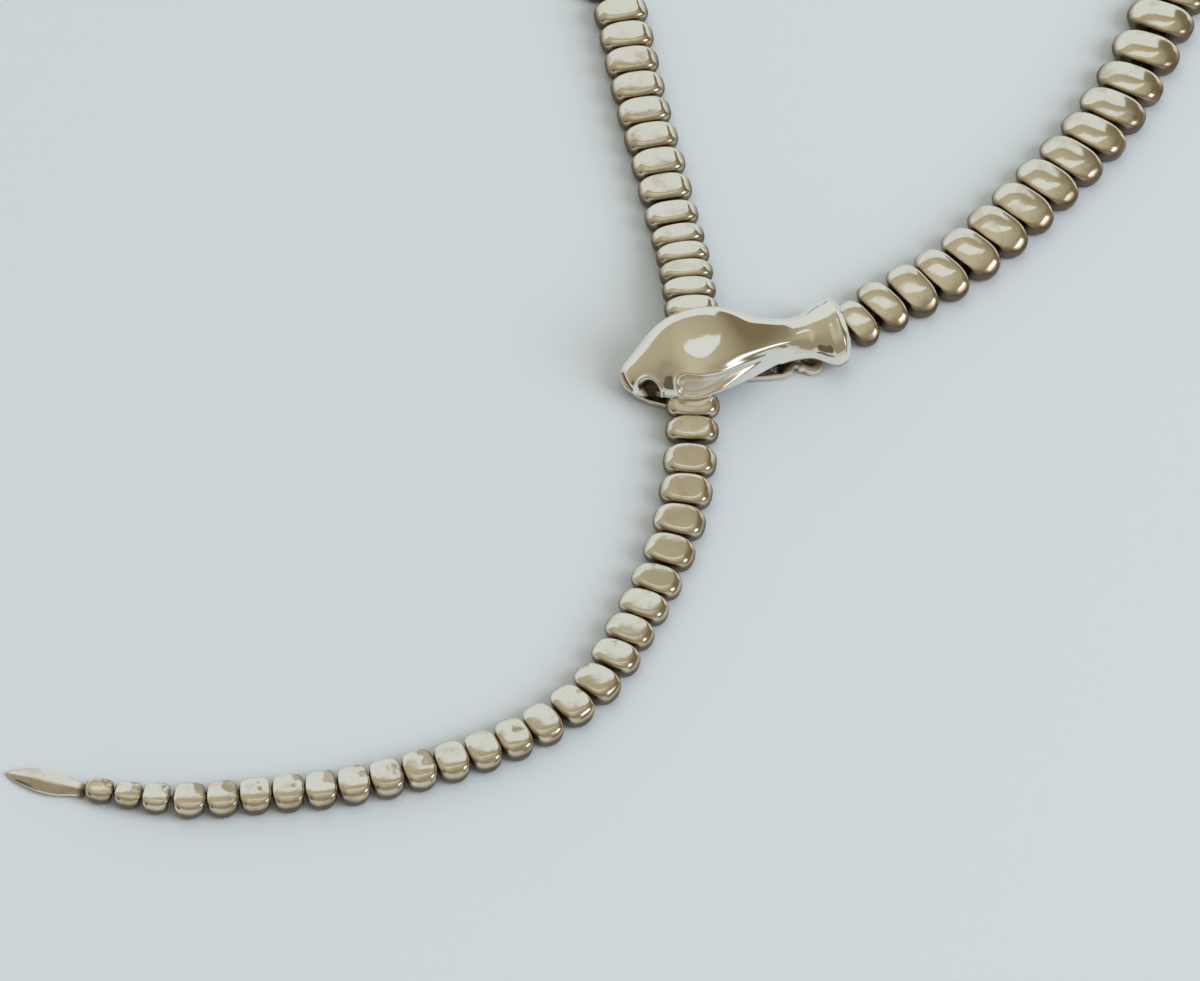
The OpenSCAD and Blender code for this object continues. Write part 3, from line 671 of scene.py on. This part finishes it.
def buildHead(form):
    for name in ("crease", "lip", "raised", "ridge", "farSquare"):
        form[name + "At"] = smoothTable(form[name])
    stations = [form["long"] * i / form["rings"] for i in range(form["rings"] + 1)]
    outer, inner, ups, talls = headWalls(form, stations)
    rounds, first, left = form["evenAlong"]
    smoothRows(outer[first:-left], rounds)
    rounds, first, left = form["evenRound"]
    smoothRows(outer[first:-left].swapaxes(0, 1), rounds)
    normal = np.cross(np.gradient(outer, axis=1), np.gradient(outer, axis=0))
    normal /= np.maximum(np.linalg.norm(normal, axis=2, keepdims=True), 1e-9)
    # outward is upward at the middle of the crown
    if normal[form["rings"] // 2, form["sides"] // 2, 2] < 0:
        normal = -normal
    push, paintedShade, satin = headRelief(form, outer, stations, ups, talls)
    outer = outer + normal * push[:, :, None]
    # each ring runs over the outer face and back under the inner one, and the two ends close to a point
    rings = np.concatenate([outer, inner[:, ::-1]], axis=1)
    around = rings.shape[1]
    snoutPoint = rings[0].mean(0) - [form["snoutRise"], 0, 0]
    verts = np.vstack([rings.reshape(-1, 3), snoutPoint, rings[-1].mean(0)])
    faces = gridFaces(len(rings), around)
    front, back = len(verts) - 2, len(verts) - 1
    lastRing = front - around
    faces += [(front, (j + 1) % around, j) for j in range(around)]
    faces += [(back, lastRing + j, lastRing + (j + 1) % around) for j in range(around)]
    piece = meshPiece("head_silver_cast", onHead(verts) * mm, faces, ["head"])
    # painted shade over the inner face of the hollow, darkest up to the jaw
    hollow = np.where(inner[:, :, 0] < form["jaw"], form["jawShade"], form["hollowShade"])
    shade = np.concatenate([paintedShade, hollow], axis=1).reshape(-1)
    setShade(piece, np.concatenate([shade, form["endShade"]]))
    satin = np.concatenate([satin, np.zeros(hollow.shape)], axis=1).reshape(-1)
    setShade(piece, np.concatenate([satin, [0, 0]]), "satin")
    tidyMesh(piece)
    return piece


headPiece = buildHead(headForm)
print("head made")

# clasp hook and tail tip: closed shells joined, remeshed and softened


def joinedShells(shells, voxel, rounds):
    data = bpy.data.meshes.new("shells")
    verts, faces = [], []
    for points, shellFaces in shells:
        faces += [tuple(i + len(verts) for i in f) for f in shellFaces]
        verts += [tuple(p) for p in points]
    data.from_pydata(verts, [], faces)
    bm = bmesh.new()
    bm.from_mesh(data)
    bmesh.ops.recalc_face_normals(bm, faces=bm.faces)
    bm.to_mesh(data)
    bm.free()
    rough = bpy.data.objects.new("shells", data)
    scene.collection.objects.link(rough)
    merge = rough.modifiers.new("merge", "REMESH")
    merge.mode = "VOXEL"
    merge.voxel_size = voxel
    soft = rough.modifiers.new("soft", "SMOOTH")
    soft.factor = 0.5
    soft.iterations = rounds
    made = bpy.data.meshes.new_from_object(rough.evaluated_get(bpy.context.evaluated_depsgraph_get()))
    points = np.empty(len(made.vertices) * 3)
    made.vertices.foreach_get("co", points)
    madeFaces = [tuple(p.vertices) for p in made.polygons]
    bpy.data.objects.remove(rough)
    bpy.data.meshes.remove(made)
    return points.reshape(-1, 3), madeFaces


def prism(outline, low, high):
    n = len(outline)
    points = [(*p, low) for p in outline] + [(*p, high) for p in outline]
    sides = [(j, (j + 1) % n, n + (j + 1) % n, n + j) for j in range(n)]
    return points, [tuple(reversed(range(n))), tuple(range(n, 2 * n))] + sides


def oval(centre, size, sides=32):
    a = np.arange(sides) * 2 * math.pi / sides
    return np.column_stack([np.cos(a) * size[0] / 2, np.sin(a) * size[1] / 2]) + centre


hookForm = {
    "base": 0.3, "thick": 0.75, "voxel": 0.1, "soften": 5,
    # distance from the snout, near side, far side
    "strip": [(0.9, -1.5, 1.5), (2.3, -3.0, 2.8), (4, -4.1, 3.3), (4.9, -3.2, 2.6), (5.6, -2.0, 2.0),
              (12, -2.0, 2.0), (13.2, -2.6, 2.0), (14.6, -3.2, 2.0), (16.4, -3.6, 2.0), (18, -3.85, 1.9),
              (19.2, -3.6, 1.8), (20, -2.8, 1.6)],
    # the block that joins it to the snout, and the bridge between its end and the tab
    "root": [(0.9, -1.5), (2.2, -1.5), (2.2, 1.5), (0.9, 1.5)], "rootTop": 1.45,
    "bridge": [(19.5, -2.45), (21.5, -2.45), (21.5, 0.05), (19.5, 0.05)],
    "tab": (21.75, -2.9), "tabSize": (2.6, 3.0),
    "knob": (20.45, -3.2), "knobSize": (0.95, 0.9), "knobRise": 0.12,
    "dimple": (21.7, -2.85), "dimpleSize": 0.55, "dimpleDeep": 0.14,
}


def buildHook(form):
    rows = form["strip"]
    near = [(r[0], r[1]) for r in rows]
    far = [(r[0], r[2]) for r in reversed(rows)]
    low, high = form["base"], form["base"] + form["thick"]
    shells = [prism(near + far, low, high),
              prism(form["root"], low, form["rootTop"]),
              prism(form["bridge"], low, high),
              prism(oval(form["tab"], form["tabSize"]), low, high),
              prism(oval(form["knob"], form["knobSize"]), low, high + form["knobRise"])]
    points, faces = joinedShells(shells, form["voxel"], form["soften"])
    # a dimple in the tab; painted shade darkens it and everything below the top
    top = softStep(points[:, 2], high - 0.35, high - 0.1)
    d = np.linalg.norm(points[:, :2] - form["dimple"], axis=1) / form["dimpleSize"]
    dent = np.exp(-d ** 4) * top
    points[:, 2] -= form["dimpleDeep"] * dent
    piece = meshPiece("clasp_hook_silver", onHead(points) * mm, faces, ["clasp_hook"])
    setShade(piece, np.clip(0.6 * dent + 0.3 * (1 - top), 0, 1))
    return piece


tipForm = {
    "voxel": 0.07, "soften": 2, "rings": 70, "lowest": 0.03,
    # the size in millimetres, and the size that the spear's table and section are drawn at
    "size": (9.1, 3.0, 1.4), "drawn": (10, 3, 1.4),
    # distance from the rear, half width, height
    "spear": [(0, 0.72, 1.0), (0.5, 0.84, 1.1), (1.2, 0.95, 1.17), (2, 1.13, 1.25), (3, 1.4, 1.35),
              (4.4, 1.5, 1.4), (5.6, 1.45, 1.35), (7, 1.2, 1.15), (8.4, 0.85, 0.85), (9.4, 0.45, 0.55),
              (10, 0.08, 0.3)],
    "section": [(-1, 0.36), (-0.97, 0.5), (-0.4, 0.78), (0.18, 0.99), (0.26, 1.0), (0.34, 0.98),
                (0.7, 0.74), (0.97, 0.5), (1, 0.36), (0.7, 0.06), (-0.7, 0.06)],
}


def buildTip(form):
    rowAt = smoothTable(form["spear"])
    grow = np.array(form["size"]) / form["drawn"]
    spear = []
    for s in np.linspace(0, form["drawn"][0], form["rings"]):
        wide, high = rowAt(s)[1:]
        spear += [np.array([s, p[0] * wide, p[1] * high]) * grow for p in form["section"]]
    n = len(form["section"])
    faces = gridFaces(form["rings"], n)
    faces += [tuple(reversed(range(n))), tuple(range(len(spear) - n, len(spear)))]
    points, faces = joinedShells([(spear, faces)], form["voxel"], form["soften"])
    points[:, 2] = np.maximum(points[:, 2], form["lowest"])
    # painted shade: darker at the rear, against the last link, and along the foot
    rear = softStep(-points[:, 0], -0.9, -0.1)
    foot = softStep(-points[:, 2], -0.5, -0.1)
    points[:, 0] -= tip["joint"]
    laid = turned(points, tip["heading"], 0.0, tip["pin"] - [0, 0, links[-1]["height"] / 2])
    piece = meshPiece("tail_tip_silver", laid * mm, faces, ["tail_tip"])
    setShade(piece, np.clip(0.9 * rear + 0.6 * foot, 0, 1))
    return piece


hookPiece = buildHook(hookForm)
tipPiece = buildTip(tipForm)
print("hook and tip made:", len(hookPiece.data.polygons), len(tipPiece.data.polygons))

# stage: floor, world and lights

stageLook = {
    "floor": {"colour": (0.74, 0.82, 0.91), "size": 8.0, "rough": 0.32, "shine": 0.25, "drop": 0.00002},
    # what the silver sees; each pair says from where to where along a direction a colour comes in
    "room": {"colour": (0.43, 0.385, 0.265)},
    "nearRoom": {"colour": (0.30, 0.26, 0.18), "y": (0.35, -0.5)},
    "overhead": {"colour": (0.53, 0.485, 0.36), "z": (0.75, 1.0), "x": (0.5, -0.3)},
    "corner": {"colour": (0.19, 0.15, 0.085), "x": (-0.25, 0.5), "turn": (1.9, 1.3), "z": (0.98, 0.6)},
    "nearEdge": {"colour": (0.56, 0.56, 0.50), "z": (0.40, 0.28), "y": (-0.35, -0.6)},
    "band": {"colour": (0.68, 0.72, 0.70), "lean": 0.12, "top": (0.358, 0.382), "left": (-1.55, -1.15),
             "right": (0.31, 0.25), "bulge": (0.48, 0.34)},
    "pane": {"colour": (1.35, 1.4, 1.42), "turn": 1.85, "z": 0.52, "wide": (0.3, 0.2), "tall": (0.2, 0.12),
             "sillWide": (0.62, 0.5), "sillTop": (0.3, 0.22)},
    "patch": {"colour": (0.12, 0.10, 0.07), "way": (-0.79, -0.57, 0.235), "edge": (0.958, 0.978)},
    "lamp": {"colour": (0.70, 0.73, 0.70), "centre": (-0.02, 0.395), "half": (0.25, 0.072), "lean": 0.32,
             "cut": 0.74, "edge": (1.04, 0.96), "z": (0.2, 0.4)},
    "fill": {"size": 2.5, "watts": 8.0, "high": 2.0},
    "window": {"azimuth": 106.0, "elevation": 34.0, "far": 2.2, "size": (1.35, 1.6), "watts": 28.0,
               "colour": (0.94, 1.0, 1.05)},
}


def buildWorld(look):
    world = bpy.data.worlds.new("studio")
    scene.world = world
    world.use_nodes = True
    tree = world.node_tree
    add = chainNodes(tree)
    way = add("ShaderNodeTexCoord").outputs["Generated"]
    x, y, z = add("ShaderNodeSeparateXYZ", {0: way}).outputs

    def sums(kind, a, b=0.0):
        return add("ShaderNodeMath", {0: a, 1: b}, operation=kind).outputs[0]

    def ramp(value, ends):
        return add("ShaderNodeMapRange", {0: value, 1: ends[0], 2: ends[1], 3: 0.0, 4: 1.0},
                   interpolation_type="SMOOTHSTEP").outputs[0]

    def mixed(share, a, b):
        node = add("ShaderNodeMix", data_type="RGBA")
        for socket, value in ((node.inputs["Factor"], share), (node.inputs[6], a), (node.inputs[7], b)):
            if isinstance(value, bpy.types.NodeSocket):
                tree.links.new(value, socket)
            else:
                socket.default_value = (*value, 1)
        return node.outputs[2]

    nearRoom, overhead = look["nearRoom"], look["overhead"]
    corner, nearEdge = look["corner"], look["nearEdge"]
    colour = mixed(ramp(y, nearRoom["y"]), look["room"]["colour"], nearRoom["colour"])
    share = sums("MULTIPLY", ramp(z, overhead["z"]), ramp(x, overhead["x"]))
    colour = mixed(share, colour, overhead["colour"])
    # brown corner: far right, low to middle height
    turn = sums("ARCTAN2", x, y)
    side = sums("MULTIPLY", ramp(x, corner["x"]), ramp(turn, corner["turn"]))
    colour = mixed(sums("MULTIPLY", side, ramp(z, corner["z"])), colour, corner["colour"])
    # the near edge of the floor shows pale and low
    share = sums("MULTIPLY", ramp(z, nearEdge["z"]), ramp(y, nearEdge["y"]))
    colour = mixed(share, colour, nearEdge["colour"])
    # a pale band beyond it, its top edge dropping to the left
    band = look["band"]
    flatX = sums("DIVIDE", x, sums("ADD", z, 1.0))
    flatY = sums("DIVIDE", y, sums("ADD", z, 1.0))
    above = sums("SUBTRACT", flatY, sums("MULTIPLY", sums("MINIMUM", flatX, 0.0), band["lean"]))
    right = ramp(sums("SUBTRACT", turn, ramp(z, band["bulge"])), band["right"])
    ends = sums("MULTIPLY", right, ramp(turn, band["left"]))
    colour = mixed(sums("MULTIPLY", ramp(above, band["top"]), ends), colour, band["colour"])
    # the window at the right, dark below it
    pane = look["pane"]
    aside = sums("ABSOLUTE", sums("SUBTRACT", turn, pane["turn"]))
    below = sums("MULTIPLY", ramp(aside, pane["sillWide"]), ramp(z, pane["sillTop"]))
    colour = mixed(below, colour, corner["colour"])
    tall = ramp(sums("ABSOLUTE", sums("SUBTRACT", z, pane["z"])), pane["tall"])
    colour = mixed(sums("MULTIPLY", ramp(aside, pane["wide"]), tall), colour, pane["colour"])
    # a dark patch low at the near left
    patch = look["patch"]
    near = add("ShaderNodeVectorMath", {0: way, 1: patch["way"]}, operation="DOT_PRODUCT").outputs["Value"]
    colour = mixed(ramp(near, patch["edge"]), colour, patch["colour"])
    # the lamp's pale panel overhead
    lamp = look["lamp"]
    fromX = sums("SUBTRACT", x, lamp["centre"][0])
    fromY = sums("SUBTRACT", sums("SUBTRACT", y, lamp["centre"][1]), sums("MULTIPLY", fromX, lamp["lean"]))
    dx = sums("ABSOLUTE", sums("DIVIDE", fromX, lamp["half"][0]))
    dy = sums("ABSOLUTE", sums("DIVIDE", fromY, lamp["half"][1]))
    cut = sums("MULTIPLY", sums("ADD", dx, dy), lamp["cut"])
    edge = sums("MAXIMUM", sums("MAXIMUM", dx, dy), cut)
    panel = sums("MULTIPLY", ramp(edge, lamp["edge"]), ramp(z, lamp["z"]))
    colour = mixed(panel, colour, lamp["colour"])
    tree.links.new(colour, tree.nodes["Background"].inputs[0])


def buildWindow(look):
    data = bpy.data.lights.new("window", "AREA")
    data.shape = "RECTANGLE"
    data.size, data.size_y = look["size"]
    data.energy = look["watts"]
    data.color = look["colour"]
    lamp = bpy.data.objects.new("window", data)
    a, e = math.radians(look["azimuth"]), math.radians(look["elevation"])
    away = Vector((math.sin(a) * math.cos(e), math.cos(a) * math.cos(e), math.sin(e)))
    lamp.location = Vector((0.0, -0.04, 0.0)) + away * look["far"]
    lamp.rotation_mode = "QUATERNION"
    lamp.rotation_quaternion = away.to_track_quat("Z", "Y")
    lamp.visible_camera = False
    lamp.visible_glossy = False
    scene.collection.objects.link(lamp)


def buildFill(look):
    # a broad overhead light for the floor: the silver doesn't mirror it
    data = bpy.data.lights.new("fill", "AREA")
    data.shape = "SQUARE"
    data.size = look["size"]
    data.energy = look["watts"]
    lamp = bpy.data.objects.new("fill", data)
    lamp.location = (0.0, 0.0, look["high"])
    lamp.visible_camera = False
    lamp.visible_glossy = False
    scene.collection.objects.link(lamp)


def buildFloor(look):
    f = look["size"]
    data = bpy.data.meshes.new("floor")
    data.from_pydata([(-f, -f, 0), (f, -f, 0), (f, f, 0), (-f, f, 0)], [], [(0, 1, 2, 3)])
    floor = bpy.data.objects.new("floor", data)
    floor.location.z = -look["drop"]
    scene.collection.objects.link(floor)
    skin = bpy.data.materials.new("pale floor")
    skin.use_nodes = True
    shader = skin.node_tree.nodes["Principled BSDF"]
    shader.inputs["Base Color"].default_value = (*look["colour"], 1)
    shader.inputs["Roughness"].default_value = look["rough"]
    shader.inputs["Specular IOR Level"].default_value = look["shine"]
    data.materials.append(skin)


buildWorld(stageLook)
buildWindow(stageLook["window"])
buildFill(stageLook["fill"])
buildFloor(stageLook["floor"])
scene.view_settings.view_transform = "Standard"
print("stage made")

# silver finishes

finishes = {
    "head": {"bright": (0.93, 0.90, 0.84), "warm": (0.80, 0.72, 0.58), "dark": (0.10, 0.065, 0.035),
             "rough": 0.06, "roughDark": 0.4, "blotch": 0.15, "blotchSize": 260.0, "dent": 0.04},
    "links": {"bright": (0.90, 0.86, 0.78), "warm": (0.64, 0.54, 0.40), "dark": (0.2, 0.15, 0.105),
              "rough": 0.07, "roughDark": 0.45, "blotch": 1.1, "blotchSize": 380.0, "dent": 0.1},
}
# shared by both: the stain's grain and levels, where the three colours stand, and how dull satin is
skinForm = {
    "grainSize": 800.0, "grainShare": 1.7, "stainFrom": 1.22, "stainFull": 1.42, "stainDark": 0.42,
    "brightTo": 0.02, "warmAt": 0.35, "darkFrom": 0.9, "satinRough": 0.3, "rippleSize": 900.0,
}


def silverSkin(name, look, form):
    skin = bpy.data.materials.new(name)
    skin.use_nodes = True
    tree = skin.node_tree
    add = chainNodes(tree)
    shader = tree.nodes["Principled BSDF"]
    shader.inputs["Metallic"].default_value = 1.0
    place = add("ShaderNodeTexCoord").outputs["Object"]
    shade, stain, satin = (add("ShaderNodeAttribute", attribute_name=kind).outputs["Fac"]
                           for kind in ("shade", "stain", "satin"))

    def noiseOf(size, detail, rough):
        return add("ShaderNodeTexNoise", {"Vector": place, "Scale": size, "Detail": detail,
                                          "Roughness": rough}).outputs[0]

    # painted shade and tarnish from the mesh, tarnish blotches over it, and stained grain on the small
    # links
    spread = add("ShaderNodeMath", {0: noiseOf(look["blotchSize"], 5.0, 0.6), 1: look["blotch"],
                                    2: -0.5 * look["blotch"]}, operation="MULTIPLY_ADD").outputs[0]
    level = add("ShaderNodeMath", {0: noiseOf(form["grainSize"], 4.0, 0.55), 1: form["grainShare"],
                                   2: stain}, operation="MULTIPLY_ADD").outputs[0]
    patch = add("ShaderNodeMapRange", {0: level, 1: form["stainFrom"], 2: form["stainFull"], 3: 0.0,
                                       4: form["stainDark"]}, interpolation_type="SMOOTHSTEP").outputs[0]
    # painted shade from the mesh, with the tarnish blotches added
    worn = add("ShaderNodeMath", {0: shade, 1: spread}, operation="ADD").outputs[0]
    shadeAndTarnish = add("ShaderNodeMath", {0: worn, 1: patch}, operation="ADD", use_clamp=True).outputs[0]
    ramp = add("ShaderNodeValToRGB", {0: shadeAndTarnish})
    stops = ramp.color_ramp.elements
    stops[0].color, stops[0].position = (*look["bright"], 1), form["brightTo"]
    stops[1].color, stops[1].position = (*look["dark"], 1), form["darkFrom"]
    stops.new(form["warmAt"]).color = (*look["warm"], 1)
    tree.links.new(ramp.outputs[0], shader.inputs["Base Color"])
    gloss = add("ShaderNodeMapRange", {0: shadeAndTarnish, 3: look["rough"], 4: look["roughDark"]}).outputs[0]
    gloss = add("ShaderNodeMath", {0: satin, 1: form["satinRough"], 2: gloss},
                operation="MULTIPLY_ADD").outputs[0]
    tree.links.new(gloss, shader.inputs["Roughness"])
    ripple = noiseOf(form["rippleSize"], 2.0, 0.5)
    bump = add("ShaderNodeBump", {"Height": ripple, "Strength": look["dent"], "Distance": 0.0001})
    tree.links.new(bump.outputs[0], shader.inputs["Normal"])
    return skin


headSilver = silverSkin("cast head silver", finishes["head"], skinForm)
linkSilver = silverSkin("worn and shaded link silver", finishes["links"], skinForm)
for piece in (headPiece, hookPiece):
    piece.data.materials.append(headSilver)
for piece in (loopPiece, tailPiece, tipPiece):
    piece.data.materials.append(linkSilver)
print("finishes made")
